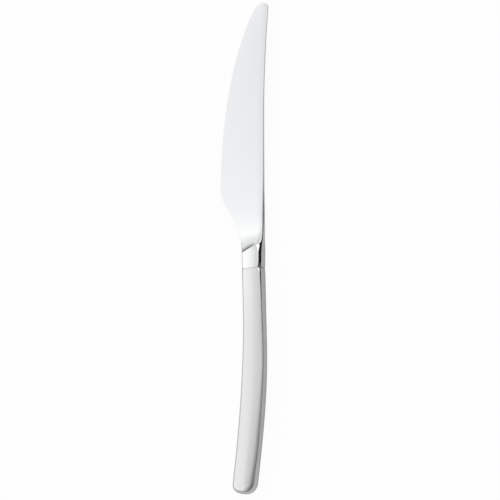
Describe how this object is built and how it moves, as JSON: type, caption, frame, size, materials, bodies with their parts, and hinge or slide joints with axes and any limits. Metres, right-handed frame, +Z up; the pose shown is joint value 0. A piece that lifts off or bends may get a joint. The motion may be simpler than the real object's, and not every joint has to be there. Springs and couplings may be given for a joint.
{
  "type": "table knife",
  "caption": "Table knife with a polished blade, a bolster with a slanted shoulder and a satin hollow handle in a gentle S-curve, for cutting food at the table.",
  "frame": {"origin": "middle of the bounding box in X and Y, on the flat of the back that the knife rests on", "axes": "+Y along the knife towards the tip, +X across it towards the spine, +Z up out of the front face"},
  "size_m": [0.0234, 0.2302, 0.0071],
  "materials": {
    "polished_steel": "bright polished stainless steel",
    "satin_steel": "satin brushed stainless steel",
    "braze": "ground silver braze",
    "cement": "cast cement, hidden"
  },
  "bodies": {
    "root": {"blade": "polished_steel", "front_shell": "satin_steel", "back_shell": "satin_steel", "shell_seam": "braze", "joint_solder": "braze", "tang_cement": "cement"}
  },
  "joints": []
}
